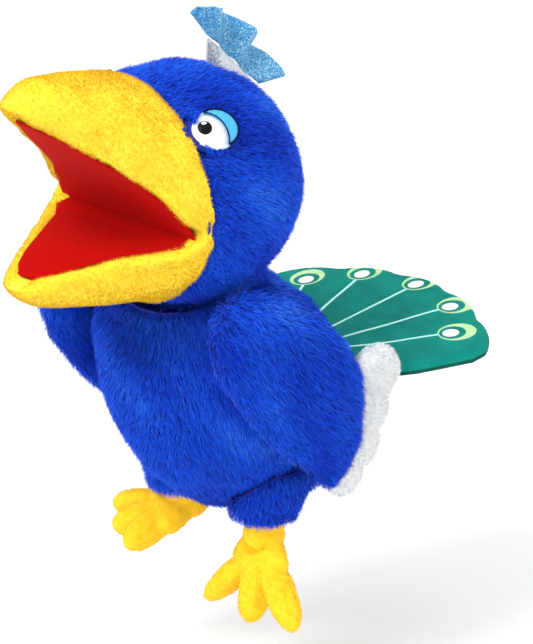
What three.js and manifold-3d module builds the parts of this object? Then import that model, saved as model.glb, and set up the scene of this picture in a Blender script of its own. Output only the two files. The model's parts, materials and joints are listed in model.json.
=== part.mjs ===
// Bird hand puppet with a moving mouth: plush head, wedge beak, sleeve body, two wings, fan tail and two legs.
// Millimetres, +Z up, beak towards -Y, the bird's left side at +X. The origin is the centre of the sleeve mouth,
// where the hand that holds the puppet goes in.
import * as THREE from 'three';
import { mergeVertices } from 'three/addons/utils/BufferGeometryUtils.js';
import Module from 'manifold-3d';

const wasm = await Module();
wasm.setup();

// ---- Driving dimensions -------------------------------------------------------------------------------------
const FOLD = { y: -128, z: 178 };          // mouth fold, from the sleeve mouth; the shapes below start from the fold
const GAP = 0.4;                           // clearance between pieces that touch
const HEAD = { y: 41, z: 14.5, radius: 77 };
const SEAM_Y = 3;                          // plane of the seam between beak and head
const BEAK_BASE_RADIUS = 73.5;
const PLUSH = 5;                           // short fur and its backing
const BEAK_PLUSH = 3.5;
const NECK_GAP = 8.8;                      // the head turns in the collar of the body with this clearance
const ARM_RADIUS = 41;                     // room for a hand and wrist
const LINING = 1.6;
const FELT = 1.4;
const BOARD = 2;
const HINGE_CLEAR = 3.6;                   // radius kept free around the mouth fold
const LEG = { x: 38, y: 78, z: -206, radius: 12.6, clear: 1.4, length: 13, bend: 88 };
const TAIL = { y: 120.4, z: -126, rise: 8, thick: 8, lobe: 135, notch: 4, lobes: 5, step: 18.4 };
const HEM = { y: 128, z: -178, slope: 51, halfWidth: 47, halfDepth: 38, wall: 6, length: 12 };

const DEG = Math.PI / 180;

// ---- Solids -------------------------------------------------------------------------------------------------
function closedGeometry(geometry) {
  const bare = geometry.clone();
  bare.deleteAttribute('normal');
  bare.deleteAttribute('uv');
  return mergeVertices(bare, 1e-4);
}

function toSolid(geometry) {
  const merged = closedGeometry(geometry);
  const index = merged.index.array;
  const triangles = [];
  for (let i = 0; i < index.length; i += 3) {
    const [a, b, c] = [index[i], index[i + 1], index[i + 2]];
    if (a !== b && b !== c && c !== a) triangles.push(a, b, c);
  }
  const mesh = (order) => new wasm.Mesh({
    numProp: 3,
    vertProperties: new Float32Array(merged.attributes.position.array),
    triVerts: new Uint32Array(order),
  });
  const solid = new wasm.Manifold(mesh(triangles));
  if (solid.volume() > 0) return solid;
  return new wasm.Manifold(mesh(triangles.slice().reverse()));
}

function toGeometry(solid) {
  const mesh = solid.getMesh();
  const geometry = new THREE.BufferGeometry();
  geometry.setAttribute('position', new THREE.BufferAttribute(new Float32Array(mesh.vertProperties), 3));
  geometry.setIndex(new THREE.BufferAttribute(new Uint32Array(mesh.triVerts), 1));
  geometry.computeVertexNormals();
  return geometry;
}

// A soft form: rounded rings threaded on a curved spine. Each key ring has a centre (x, y, z), a half-width a
// along X, a half-depth b along the direction up (in the YZ plane), and a squareness e (2 is an ellipse).
// round0 and round1 close the ends with a dome over that share of the spine; extend0 and extend1 lengthen it.
function ringForm(keys, options = {}) {
  const { around = 20, rings = 12, inset = 0, round0 = 0, round1 = 0, extend0 = 0, extend1 = 0 } = options;
  const curve = (pick) => new THREE.CatmullRomCurve3(
    keys.map((key) => new THREE.Vector3(...pick(key))), false, 'catmullrom', 0.5);
  const centres = curve((key) => [key.x ?? 0, key.y, key.z]);
  const sizes = curve((key) => [key.a, key.b, key.e ?? 2]);
  const ups = curve((key) => [0, key.up[0], key.up[1]]);
  const ends = [centres.getPoint(0), centres.getPoint(1)];
  const length = centres.getLength();
  const start = round0 ? inset / length : 0;
  const stop = round1 ? 1 - inset / length : 1;
  const geometry = new THREE.SphereGeometry(1, around, rings + 1);
  const position = geometry.attributes.position;
  const dome = (u) => {
    const near = round0 && u < round0 ? Math.sqrt(Math.max(0, 1 - (1 - u / round0) ** 2)) : 1;
    const far = round1 && u > 1 - round1 ? Math.sqrt(Math.max(0, 1 - ((u - 1 + round1) / round1) ** 2)) : 1;
    return near * far;
  };
  const share = (row) => {
    const u = row / (rings + 1);
    if (round0 && round1) return (1 - Math.cos(Math.PI * u)) / 2;
    if (round1) return Math.sin((Math.PI / 2) * Math.max(0, (row - 1) / rings));
    if (round0) return 1 - Math.cos((Math.PI / 2) * Math.min(1, row / rings));
    return Math.min(1, Math.max(0, (row - 1) / (rings - 1)));
  };
  const flat0 = !round0;
  const flat1 = !round1;
  const shift0 = centres.getTangent(0).multiplyScalar(-extend0);
  const shift1 = centres.getTangent(1).multiplyScalar(extend1);
  for (let row = 0; row <= rings + 1; row += 1) {
    const u = share(row);
    const along01 = start + (stop - start) * u;
    const inside = THREE.MathUtils.clamp(along01, 0, 1);
    const t = centres.getUtoTmapping(inside);
    const centre = centres.getPoint(t).addScaledVector(centres.getTangent(t), (along01 - inside) * length);
    if (flat0 && row <= 1) centre.copy(ends[0]).add(shift0);
    if (flat1 && row >= rings) centre.copy(ends[1]).add(shift1);
    const size = sizes.getPoint(t);
    const up = ups.getPoint(t).normalize();
    const pole = row === 0 || row === rings + 1;
    const scale = pole ? 0 : dome(u);
    for (let col = 0; col <= around; col += 1) {
      const angle = (2 * Math.PI * (col % around)) / around;
      const power = 2 / size.z;
      const across = Math.sign(Math.cos(angle)) * Math.abs(Math.cos(angle)) ** power;
      const along = Math.sign(Math.sin(angle)) * Math.abs(Math.sin(angle)) ** power;
      const reach = (size.y - inset) * scale * along;
      position.setXYZ(
        row * (around + 1) + col,
        centre.x + (size.x - inset) * scale * across,
        centre.y + reach * up.y,
        centre.z + reach * up.z,
      );
    }
  }
  return toSolid(geometry);
}

function ball(radii, centre, segments = [16, 10]) {
  const geometry = new THREE.SphereGeometry(1, ...segments);
  geometry.scale(...radii);
  geometry.translate(...centre);
  return toSolid(geometry);
}

function box(low, high) {
  const size = high.map((value, i) => value - low[i]);
  const geometry = new THREE.BoxGeometry(...size);
  geometry.translate(...low.map((value, i) => value + size[i] / 2));
  return toSolid(geometry);
}

// A prism across X whose outline is given in the YZ plane.
function prism(outline, halfWidth) {
  const shape = new THREE.Shape(outline.map(([y, z]) => new THREE.Vector2(y, z)));
  const geometry = new THREE.ExtrudeGeometry(shape, { depth: 2 * halfWidth, bevelEnabled: false });
  geometry.applyMatrix4(new THREE.Matrix4().makeBasis(
    new THREE.Vector3(0, 1, 0), new THREE.Vector3(0, 0, 1), new THREE.Vector3(1, 0, 0)));
  geometry.translate(-halfWidth, 0, 0);
  return toSolid(geometry);
}

function hingeRod(radius, halfWidth, sides = 16) {
  const geometry = new THREE.CylinderGeometry(radius, radius, 2 * halfWidth, sides);
  geometry.rotateZ(90 * DEG);
  return toSolid(geometry);
}

const subtractAll = (solid, ...cuts) => cuts.reduce((rest, cut) => rest.subtract(cut), solid);

// ---- Colours ------------------------------------------------------------------------------------------------
const finish = (color, roughness, metalness = 0) => ({ color, roughness, metalness });
const FINISHES = {
  bluePlush: finish(0x0c3cbe, 0.95),
  yellowPlush: finish(0xf5d728, 0.9),
  yellowFoot: finish(0xf9c81a, 0.9),
  redFelt: finish(0xc30a06, 0.9),
  lining: finish(0x1c2a55, 0.85),
  filling: finish(0xf0efe8, 1),
  board: finish(0x8d8a80, 0.6),
  whitePlush: finish(0xe8ebe8, 0.95),
  tealPrint: finish(0x1aa08f, 0.8),
  silverCloth: finish(0xd9dddd, 0.35, 0.6),
  blueRibbon: finish(0x4aa3cf, 0.3, 0.6),
  eyeWhite: finish(0xf2f5f5, 0.35),
  eyeBlack: finish(0x0a0a0c, 0.2),
  eyelid: finish(0x5ac3eb, 0.5),
};

const puppet = new THREE.Group();
puppet.name = 'bird_puppet';
const atFold = new THREE.Group();
atFold.position.set(0, FOLD.y, FOLD.z);
puppet.add(atFold);

function place(name, solid, look, parent = atFold) {
  const mesh = new THREE.Mesh(toGeometry(solid), new THREE.MeshStandardMaterial(FINISHES[look]));
  mesh.name = name;
  parent.add(mesh);
  return mesh;
}

// ---- Forms shared by several pieces -------------------------------------------------------------------------
const UP = [0, 1];

function headForm(options) {
  const back = HEAD.y + HEAD.radius;
  const keys = [
    { y: SEAM_Y, z: 18.5, a: BEAK_BASE_RADIUS, b: BEAK_BASE_RADIUS, up: UP },
    { y: 20, z: 16.5, a: 76, b: 76, up: UP },
    { y: HEAD.y, z: HEAD.z, a: HEAD.radius, b: HEAD.radius, up: UP },
    { y: 66, z: HEAD.z, a: HEAD.radius, b: HEAD.radius, up: UP },
    { y: back, z: HEAD.z, a: HEAD.radius, b: HEAD.radius, up: UP },
  ];
  return ringForm(keys, { around: 24, rings: 9, round1: (back - HEAD.y) / (back - SEAM_Y), ...options });
}

function bodyForm(options) {
  const keys = [
    { y: 52, z: -34, a: 58, b: 50, up: [-1, 0.15] },
    { y: 58, z: -71, a: 73, b: 63, up: [-1, -0.08] },
    { y: 72, z: -112, a: 77, b: 71, up: [-1, -0.34] },
    { y: 86, z: -152, a: 73, b: 68, up: [-1, -0.45] },
    { y: 100, z: -203, a: 58, b: 54, up: [-1, -0.45] },
  ];
  return ringForm(keys, { around: 24, rings: 10, round0: 0.3, round1: 0.42, ...options });
}

// The room for the arm: from outside the sleeve mouth, up through the body and neck, into the head.
function armForm(inset = 0) {
  const keys = [
    { y: 156, z: -201, a: HEM.halfWidth, b: HEM.halfDepth, up: [0.63, 0.78] },
    { y: HEM.y, z: HEM.z, a: HEM.halfWidth, b: HEM.halfDepth, up: [0.63, 0.78] },
    { y: 98, z: -138, a: 44, b: 38, up: [0.8, 0.6] },
    { y: 73, z: -92, a: ARM_RADIUS, b: 36, up: [0.95, 0.3] },
    { y: 59, z: -52, a: ARM_RADIUS, b: 36, up: [1, 0.1] },
    { y: 52, z: -20, a: ARM_RADIUS, b: 36, up: [1, 0] },
    { y: 46, z: 8, a: ARM_RADIUS, b: 36, up: [1, 0] },
  ];
  return ringForm(keys, { around: 16, rings: 8, inset });
}

// The palm's room inside the head, open to both beak pockets at its front.
function palmForm() {
  const keys = [
    { y: -3, z: 10, a: 46, b: 34, up: UP },
    { y: 20, z: 8, a: 47, b: 38, up: UP },
    { y: 50, z: 4, a: 45, b: 36, up: UP },
    { y: 84, z: 2, a: 40, b: 32, up: UP },
  ];
  return ringForm(keys, { around: 20, rings: 7, round1: 0.4, extend0: 4 });
}

// Side lines of the open mouth, from the fold to the tips: the upper one arches, the lower one is nearly straight.
const UPPER_LINE = [[0, 0], [-5.5, 11], [-18, 27.5], [-32.6, 41.4], [-50.5, 55.6], [-69, 70], [-93, 86]];
const LOWER_LINE = [[0, 0], [-12.7, -4.2], [-47.5, -7.2], [-68.7, -11], [-90, -17]];

const offsetLine = (line, distance) => line.map(([y, z], i) => {
  const [y0, z0] = line[Math.max(0, i - 1)];
  const [y1, z1] = line[Math.min(line.length - 1, i + 1)];
  const length = Math.hypot(y1 - y0, z1 - z0);
  return [y + ((z1 - z0) / length) * distance, z - ((y1 - y0) / length) * distance];
});

const outward = (line) => {
  const [[y0, z0], [y1, z1]] = line.slice(-2);
  const length = Math.hypot(y1 - y0, z1 - z0);
  return [y1 + ((y1 - y0) / length) * 45, z1 + ((z1 - z0) / length) * 45];
};

// A bent sheet across X that follows a mouth line, between two distances from it.
function mouthSheet(line, from, to, reach) {
  const near = offsetLine([...line, outward(line)], from);
  const far = offsetLine([...line, outward(line)], to);
  return prism([...near, ...far.reverse()], reach);
}

// All of the space in front of the fold on the mouth side of a line: up is 1 for the upper half, -1 for the lower.
function mouthSide(line, up) {
  const [y, z] = outward(line);
  return prism([...line, [y, z], [y - 40, -up * 260], [0, -up * 260]], 110);
}

// Everything below (side -1) or above (side 1) the split that runs straight back from the fold.
function splitBlock(side, clearance) {
  const edge = side * clearance;
  return side > 0 ? box([-110, -0.01, edge], [110, 140, 140]) : box([-110, -0.01, -140], [110, 140, edge]);
}

const UPPER_BEAK = [
  { y: SEAM_Y - GAP, z: 18.5, a: 73.5, b: 73.5, up: [0, 1] },
  { y: -8, z: 36, a: 67, b: 60, up: [0.15, 1] },
  { y: -22, z: 55, a: 57, b: 46, up: [0.3, 1] },
  { y: -43, z: 69, a: 46, b: 37, up: [0.36, 1] },
  { y: -64, z: 82, a: 34, b: 28, up: [0.42, 1] },
  { y: -83, z: 92, a: 25, b: 22, up: [0.42, 1] },
  { y: -110, z: 99, a: 18, b: 15, up: [0.42, 1] },
];
const LOWER_BEAK = [
  { y: SEAM_Y - GAP, z: 18.5, a: 73.5, b: 73.5, up: [0, 1] },
  { y: -14, z: -6, a: 63, b: 43, up: [0, 1] },
  { y: -44, z: -16, a: 44, b: 29, up: [0, 1] },
  { y: -67, z: -20, a: 32, b: 21, up: [0.1, 1] },
  { y: -86, z: -22, a: 24, b: 16, up: [0.15, 1] },
  { y: -107, z: -19, a: 17, b: 12, up: [0.2, 1] },
];

const beakForm = (keys, options) => ringForm(keys, { around: 20, rings: 8, round1: 0.26, ...options });

// ---- Body ---------------------------------------------------------------------------------------------------
const neckSocket = () => ball(
  [HEAD.radius + NECK_GAP, HEAD.radius + NECK_GAP, HEAD.radius + NECK_GAP], [0, HEAD.y, HEAD.z], [24, 14]);

// Room under the beak, so that the chin clears the chest when the head nods.
const chinRoom = () => ball([88, 88, 88], [0, HEAD.y, HEAD.z], [24, 14])
  .intersect(box([-110, -140, -140], [110, 24, 60]));

const hemTurn = new THREE.Matrix4().makeRotationX(HEM.slope * DEG);

// An oval post on the axis of the sleeve mouth, from inside to outside the plane of the mouth.
function hemPost(grow, inside, outside) {
  const geometry = new THREE.CylinderGeometry(1, 1, inside + outside, 24);
  geometry.rotateX(90 * DEG);
  geometry.scale(HEM.halfWidth + grow, HEM.halfDepth + grow, 1);
  geometry.translate(0, 0, (inside - outside) / 2);
  geometry.applyMatrix4(hemTurn);
  geometry.translate(0, HEM.y, HEM.z);
  return toSolid(geometry);
}

function hipHollow(side) {
  const radius = LEG.radius + LEG.clear;
  return ball([radius, radius, radius], [side * LEG.x, LEG.y, LEG.z]);
}

function buildBody() {
  const mouths = [neckSocket(), chinRoom(), hemPost(HEM.wall + GAP, HEM.length + GAP, 60)];
  const cuts = [...mouths, hipHollow(1), hipHollow(-1)];
  const skin = subtractAll(bodyForm(), bodyForm({ inset: PLUSH }), ...cuts, armForm(-2.6));
  place('body_skin', skin, 'bluePlush');
  const filling = subtractAll(bodyForm({ inset: PLUSH + GAP }), ...cuts, armForm(-2.2));
  place('body_filling', filling, 'filling');
  const lining = subtractAll(armForm(-1.8), armForm(-0.2), neckSocket(), chinRoom(),
    hemPost(60, HEM.length + GAP, 90), box([-110, -60, -60], [110, 140, 60]));
  place('body_lining', lining, 'lining');
}

function buildSleeveHem() {
  place('sleeve_hem', hemPost(HEM.wall, HEM.length, 0).subtract(hemPost(0, HEM.length + 1, 1)), 'bluePlush');
}

// Fur cuffs sewn under the body, one round the top of each leg. The leg hangs from a ball-shaped hollow in it.
function buildThigh(name, side) {
  const x = side * LEG.x;
  const cuff = ringForm([
    { x, y: 82, z: -172, a: 25, b: 25, up: [-1, 0] },
    { x, y: 80, z: -190, a: 25, b: 25, up: [-1, 0] },
    { x, y: LEG.y, z: LEG.z, a: 20, b: 20, up: [-1, 0] },
  ], { around: 14, rings: 3 });
  place(name, subtractAll(
    cuff, bodyForm({ inset: -GAP }), hipHollow(side), armForm(-2.4), hemPost(HEM.wall + GAP, 30, 30)), 'bluePlush');
}

// ---- Neck and head ------------------------------------------------------------------------------------------
// The fabric tube between body and head, inside the collar.
function buildNeck() {
  const keys = [
    { y: 74, z: -95, a: ARM_RADIUS, b: 36, up: [0.95, 0.3] },
    { y: 59, z: -52, a: ARM_RADIUS, b: 36, up: [1, 0.1] },
    { y: 55, z: -34, a: ARM_RADIUS, b: 36, up: [1, 0] },
  ];
  const tube = (inset, extra) => ringForm(keys, { around: 20, rings: 4, inset, extend0: extra, extend1: extra });
  place('neck_lining', tube(1.4, -8).subtract(tube(3, 2)), 'lining');
}

const EYE = { x: 52.5, y: 18.5, z: 66, radii: [16.5, 14, 5.5], out: [0.68, -0.29, 0.675] };

// Turns a local frame (u across, v up, w out of the head) to the eye's place on the given side.
function eyeMatrix(side) {
  const w = new THREE.Vector3(side * EYE.out[0], EYE.out[1], EYE.out[2]).normalize();
  const v = new THREE.Vector3(0, 0, 1).addScaledVector(w, -w.z).normalize();
  const u = new THREE.Vector3().crossVectors(v, w);
  const matrix = new THREE.Matrix4().makeBasis(u, v, w);
  matrix.setPosition(side * EYE.x, EYE.y, EYE.z);
  return matrix;
}

function eyeDome(side, grow, centre = [0, 0, 0], radii = EYE.radii) {
  const geometry = new THREE.SphereGeometry(1, 14, 6);
  geometry.rotateX(90 * DEG);
  geometry.scale(...radii.map((radius) => radius + grow));
  geometry.translate(...centre);
  geometry.applyMatrix4(eyeMatrix(side));
  return toSolid(geometry);
}

function eyeBlock(side, low, high) {
  const geometry = new THREE.BoxGeometry(...high.map((value, i) => value - low[i]));
  geometry.translate(...low.map((value, i) => (value + high[i]) / 2));
  geometry.applyMatrix4(eyeMatrix(side));
  return toSolid(geometry);
}

// A round post through the eye, along w. What it leaves of the lid is a crescent over the top and rear of the eye.
function eyePost(side, [u, v], radius) {
  const geometry = new THREE.CylinderGeometry(radius, radius, 60, 24);
  geometry.rotateX(90 * DEG);
  geometry.translate(side * u, v, 0);
  geometry.applyMatrix4(eyeMatrix(side));
  return toSolid(geometry);
}

// The eye lies on the fur: a white dome, a black pupil let into it and a lid over its top and rear.
function buildEye(prefix, side) {
  const aboveBack = eyeBlock(side, [-30, -30, -0.6], [30, 30, 30]);
  const pupilAt = [side * -2.8, 1.6, 4.6];
  const pupil = (grow) => eyeDome(side, grow, pupilAt, [4.8, 4.8, 2.1]);
  const white = eyeDome(side, 0).intersect(aboveBack).subtract(pupil(0.35));
  const lid = subtractAll(eyeDome(side, 2.4).intersect(aboveBack), eyeDome(side, GAP), eyePost(side, [-5, -4.3], 16.3));
  place(`${prefix}_eye_white`, white, 'eyeWhite');
  place(`${prefix}_pupil`, pupil(0), 'eyeBlack');
  place(`${prefix}_eyelid`, lid, 'eyelid');
}

const eyeSocket = (side) => eyeDome(side, 2.9).intersect(eyeBlock(side, [-30, -30, -1.1], [30, 30, 30]));

function buildHead() {
  const behindSeam = box([-110, -140, -140], [110, SEAM_Y - 0.01, 140]);
  const neckHole = armForm(-2.6);
  const sockets = [eyeSocket(1), eyeSocket(-1)];
  const skin = subtractAll(headForm(), headForm({ inset: PLUSH, extend0: 8 }), neckHole, ...sockets);
  place('head_skin', skin, 'bluePlush');
  const filling = subtractAll(headForm({ inset: PLUSH + GAP }), palmForm(), neckHole, behindSeam, ...sockets);
  place('head_filling', filling, 'filling');
}

const fingerRoom = (grow) => ringForm([
  { y: 12, z: 30, a: 43 + grow, b: 12 + grow, up: [0, 1] },
  { y: -14, z: 43, a: 41 + grow, b: 11.5 + grow, up: [0.6, 0.8] },
  { y: -38, z: 63, a: 33 + grow, b: 11 + grow, up: [0.6, 0.8] },
  { y: -66, z: 83, a: 22 + grow, b: 10 + grow, up: [0.6, 0.8] },
], { around: 12, rings: 6, round1: 0.3 });

const thumbRoom = (grow) => ringForm([
  { y: 12, z: -22, a: 24 + grow, b: 11 + grow, up: [0, 1] },
  { y: -15, z: -21, a: 23 + grow, b: 10.5 + grow, up: [0, 1] },
  { y: -42, z: -23, a: 20 + grow, b: 9.5 + grow, up: [0, 1] },
  { y: -68, z: -25, a: 15 + grow, b: 8 + grow, up: [0, 1] },
], { around: 12, rings: 5, round1: 0.3 });

const inFront = (y) => box([-110, -170, -140], [110, y, 140]);

// The stiff board's outline, and the lining's, in plan: full width at the fold, narrowing to a round tip.
function tongueOutline(widths, margin) {
  const right = widths.map(([y, half]) => new THREE.Vector2(half - margin, y));
  const left = right.map((point) => new THREE.Vector2(-point.x, point.y)).reverse();
  const shape = new THREE.Shape([...right, ...left]);
  const geometry = new THREE.ExtrudeGeometry(shape, { depth: 300, bevelEnabled: false });
  geometry.translate(0, 0, -150);
  return toSolid(geometry);
}
const UPPER_WIDTHS = [[0, 54.5], [-5, 53], [-32.6, 43.5], [-50.5, 34.5], [-69, 22.5], [-84, 10], [-91, 4]];
const LOWER_WIDTHS = [[0, 54.5], [-12.7, 50], [-47.5, 31], [-68.7, 21], [-80.6, 14], [-88, 6]];

function buildBeakHalf(spec) {
  const { prefix, keys, line, widths, up, room, pocket, split, parent } = spec;
  const clear = hingeRod(HINGE_CLEAR, 110);
  const cuts = [mouthSide(line, up), splitBlock(-up, 0.4), clear, eyeSocket(1), eyeSocket(-1)];
  const whole = (inset, extra = 0) => beakForm(keys, { inset, extend0: extra });
  const lip = mouthSheet(line, -up * 30, up * BEAK_PLUSH, 110).subtract(tongueOutline(widths, 0));
  const skin = subtractAll(whole(0), whole(BEAK_PLUSH, 6).subtract(lip), ...cuts);
  const sheetZone = mouthSheet(line, -up * 30, up * (FELT + BOARD + 1.2), 110);
  const felt = mouthSheet(line, up * 0.3, up * (0.3 + FELT), 60).intersect(tongueOutline(widths, 0.4)).subtract(clear);
  const board = mouthSheet(line, up * (0.7 + FELT), up * (0.7 + FELT + BOARD), 60)
    .intersect(tongueOutline(widths, 3)).subtract(hingeRod(HINGE_CLEAR + 2.4, 110));
  const feltZone = mouthSheet(line, -up * 5, up * (0.3 + FELT + 0.35), 60).intersect(tongueOutline(widths, 0));
  const seat = whole(BEAK_PLUSH + GAP, 6).intersect(inFront(SEAM_Y - GAP));
  const filling = subtractAll(seat, sheetZone, room(LINING + 0.6), ...cuts, hingeRod(HINGE_CLEAR + 5, 110));
  place(`${prefix}_beak_skin`, skin.subtract(feltZone), 'yellowPlush', parent);
  place(`${prefix}_beak_filling`, filling, 'filling', parent);
  place(`${prefix}_mouth_lining`, felt, 'redFelt', parent);
  place(`${prefix}_mouth_board`, board.intersect(seat), 'board', parent);
  const pouch = room(LINING).subtract(room(0).add(pocket)).intersect(inFront(SEAM_Y - GAP))
    .subtract(sheetZone).subtract(clear).subtract(mouthSide(line, up)).subtract(splitBlock(-up, 0.4));
  place(split, pouch, 'lining', parent);
}

function buildBeak() {
  buildBeakHalf({
    prefix: 'upper', keys: UPPER_BEAK, line: UPPER_LINE, widths: UPPER_WIDTHS, up: 1,
    room: fingerRoom, pocket: box([-30, 1, 20], [30, 14, 40]), split: 'finger_pocket', parent: atFold,
  });
  buildBeakHalf({
    prefix: 'lower', keys: LOWER_BEAK, line: LOWER_LINE, widths: LOWER_WIDTHS, up: -1,
    room: thumbRoom, pocket: box([-15, 1, -30], [15, 14, -14]), split: 'thumb_pocket', parent: atFold,
  });
  place('mouth_fold', hingeRod(HINGE_CLEAR - 0.8, 53, 12), 'redFelt');
}

// Stuffed fin of silver cloth standing on the crown, with a pleated ribbon along its sloping edge. Outlines in YZ.
const FIN = [[66, 76], [65, 104], [108, 62], [100, 50]];
const RIBBON = [[64.5, 106], [60, 110], [54, 120], [55, 126], [66, 127], [84, 117], [100, 106], [116, 88], [124, 73],
  [123, 66], [109.5, 64]];

function buildCrest() {
  const headTop = headForm({ inset: -GAP });
  place('crest_fin', prism(FIN, 8).subtract(headTop), 'silverCloth');
  place('crest_ribbon', prism(RIBBON, 8.5).subtract(headTop), 'blueRibbon');
}

// ---- Wings --------------------------------------------------------------------------------------------------
const WING_KEYS = [
  { x: 66, y: 27, z: -38, a: 14, b: 30, up: [1, 0] },
  { x: 77, y: 40, z: -62, a: 15, b: 45, up: [1, 0] },
  { x: 84, y: 55, z: -90, a: 14, b: 53, up: [1, 0] },
  { x: 88, y: 68, z: -120, a: 13, b: 46, up: [1, 0] },
  { x: 88, y: 82, z: -150, a: 12, b: 31, up: [1, 0] },
  { x: 85, y: 92, z: -180, a: 9, b: 15, up: [1, 0] },
];

function wingForm(side, inset) {
  const keys = WING_KEYS.map((key) => ({ ...key, x: side * key.x }));
  return ringForm(keys, { around: 16, rings: 9, inset, round0: 0.25, round1: 0.3 });
}

// White scallops along the wing's rear edge: [y, z, radius] of each bulge, from the top down.
const TRIM_BULGES = [[128, -112, 19], [121, -134, 17], [114, -155, 16], [101, -171, 15]];

function buildWing(prefix, side) {
  const skin = subtractAll(wingForm(side, 0), wingForm(side, 4), bodyForm({ inset: -1 }));
  place(`${prefix}_wing_skin`, skin, 'bluePlush');
  place(`${prefix}_wing_filling`, wingForm(side, 4 + GAP).subtract(bodyForm({ inset: -1.6 })), 'filling');
  const bulges = TRIM_BULGES.map(([y, z, radius]) => ball([7, radius, radius], [side * 86, y, z], [10, 7]));
  const trim = bulges.reduce((whole, bulge) => whole.add(bulge))
    .subtract(wingForm(side, -GAP)).subtract(bodyForm({ inset: -1 }));
  place(`${prefix}_wing_trim`, trim, 'whitePlush');
}

// ---- Tail ---------------------------------------------------------------------------------------------------
// Outline of the fan in its own plane: round lobes, one for each eyespot, and sides that curve in to a narrow root.
function fanShape(shrink) {
  const half = (TAIL.lobes * TAIL.step) / 2;
  const side = [[96, 84], [88, 66], [80, 50], [70, 36], [58, 24]];
  const points = side.map(([x, q]) => new THREE.Vector2(-x + shrink, q + shrink * (q < 30))).reverse();
  for (let lobe = 0; lobe < TAIL.lobes; lobe += 1) {
    for (let i = 0; i < 5; i += 1) {
      const part = (i + 0.3) / 4.6;
      const angle = (-half + TAIL.step * (lobe + part)) * DEG;
      const reach = TAIL.lobe - TAIL.notch + TAIL.notch * Math.sin(Math.PI * part) - shrink;
      points.push(new THREE.Vector2(reach * Math.sin(angle), reach * Math.cos(angle)));
    }
  }
  side.forEach(([x, q]) => points.push(new THREE.Vector2(x - shrink, q + shrink * (q < 30))));
  return new THREE.Shape(points);
}

function fanSlab(low, high, bevel) {
  const geometry = new THREE.ExtrudeGeometry(fanShape(bevel), {
    depth: high - low - 2 * bevel, bevelEnabled: bevel > 0, bevelThickness: bevel, bevelSize: bevel, bevelSegments: 2,
  });
  geometry.translate(0, 0, low + bevel);
  geometry.rotateX(TAIL.rise * DEG);
  geometry.translate(0, TAIL.y, TAIL.z);
  return toSolid(geometry);
}

function buildTail() {
  place('tail_fan', fanSlab(-TAIL.thick / 2, TAIL.thick / 2, 2).subtract(bodyForm({ inset: -3.5 })), 'tealPrint');
}

// ---- Legs ---------------------------------------------------------------------------------------------------
const TOES = [-1, 0, 1];

// A foot in its own frame: ankle at the origin, toes down (-Z), splayed across X by spread degrees, soles to +Y.
function footSolid(spread, toeLength) {
  const palm = ringForm([
    { y: 0, z: 4, a: 10, b: 9, up: [1, 0] },
    { y: 0, z: -12, a: 20, b: 11, up: [1, 0] },
    { y: -1, z: -22, a: 23, b: 11.5, up: [1, 0] },
    { y: -2, z: -31, a: 17, b: 9, up: [1, 0] },
  ], { around: 14, rings: 6, round0: 0.3, round1: 0.4 });
  const toes = TOES.map((toe) => {
    const lean = toe * spread * DEG;
    const along = (distance) => ({ x: Math.tan(lean) * 0.92 * distance, z: -6 - distance });
    return ringForm([
      { ...along(9), y: 0, a: 10.5, b: 10, up: [1, 0] },
      { ...along(0.6 * toeLength), y: -1.5, a: 11, b: 11, up: [1, 0] },
      { ...along(toeLength + 8 - 4 * Math.abs(toe)), y: -4, a: 9.5, b: 9.5, up: [1, 0] },
    ], { around: 8, rings: 5, round0: 0.3, round1: 0.4 });
  });
  return toes.reduce((whole, toe) => whole.add(toe), palm);
}

// Shank and foot of one leg: swing tilts the shank about X, pitch and yaw set the foot on it.
function buildLeg(prefix, side, { swing, pitch, yaw, spread, toeLength }) {
  const hip = new THREE.Group();
  hip.position.set(side * LEG.x, LEG.y, LEG.z);
  hip.rotation.set(swing * DEG, 0, 0);
  atFold.add(hip);
  const ankle = new THREE.Group();
  ankle.position.set(0, 0, -LEG.length);
  ankle.rotation.set(pitch * DEG, 0, yaw * DEG, 'ZYX');
  hip.add(ankle);
  const tube = ringForm([
    { y: 0, z: -0.5, a: LEG.radius - 0.2, b: LEG.radius - 0.2, up: [1, 0] },
    { y: 0, z: -LEG.length, a: LEG.radius - 0.6, b: LEG.radius - 0.6, up: [1, 0] },
  ], { around: 12, rings: 2 });
  const knob = ball([LEG.radius, LEG.radius, LEG.radius], [0, 0, 0], [12, 6]);
  const heelRadius = LEG.radius + 0.2;
  const seat = ball([heelRadius + 0.8, heelRadius + 0.8, heelRadius + 0.8], [0, 0, -LEG.length], [12, 8]);
  const heel = ball([heelRadius, heelRadius, heelRadius], [0, 0, 0], [12, 8]);
  place(`${prefix}_leg`, knob.add(tube).subtract(seat), 'yellowFoot', hip);
  const crease = new THREE.CylinderGeometry(LEG.radius + GAP, LEG.radius + GAP, 30, 14);
  crease.rotateX(90 * DEG);
  crease.translate(0, 0, 19);
  crease.rotateX(LEG.bend * DEG);
  place(`${prefix}_foot`, footSolid(spread, toeLength).subtract(toSolid(crease)).add(heel), 'yellowFoot', ankle);
}

buildBody();
buildSleeveHem();
buildThigh('left_thigh', 1);
buildThigh('right_thigh', -1);
buildNeck();
buildHead();
buildEye('left', 1);
buildEye('right', -1);
buildBeak();
buildCrest();
buildWing('left', 1);
buildWing('right', -1);
buildTail();
buildLeg('left', 1, { swing: 0, pitch: -8, yaw: 0, spread: 41, toeLength: 44 });
buildLeg('right', -1, { swing: 30, pitch: -86, yaw: -37, spread: 28, toeLength: 38 });

export default puppet;
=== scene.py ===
"""Visual model of a bird hand puppet with a moving mouth, in metres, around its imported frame."""

import json
import math

import bmesh
import bpy
import numpy as np
from mathutils import Matrix, Vector
from mathutils.geometry import delaunay_2d_cdt
from mathutils.kdtree import KDTree


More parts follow.
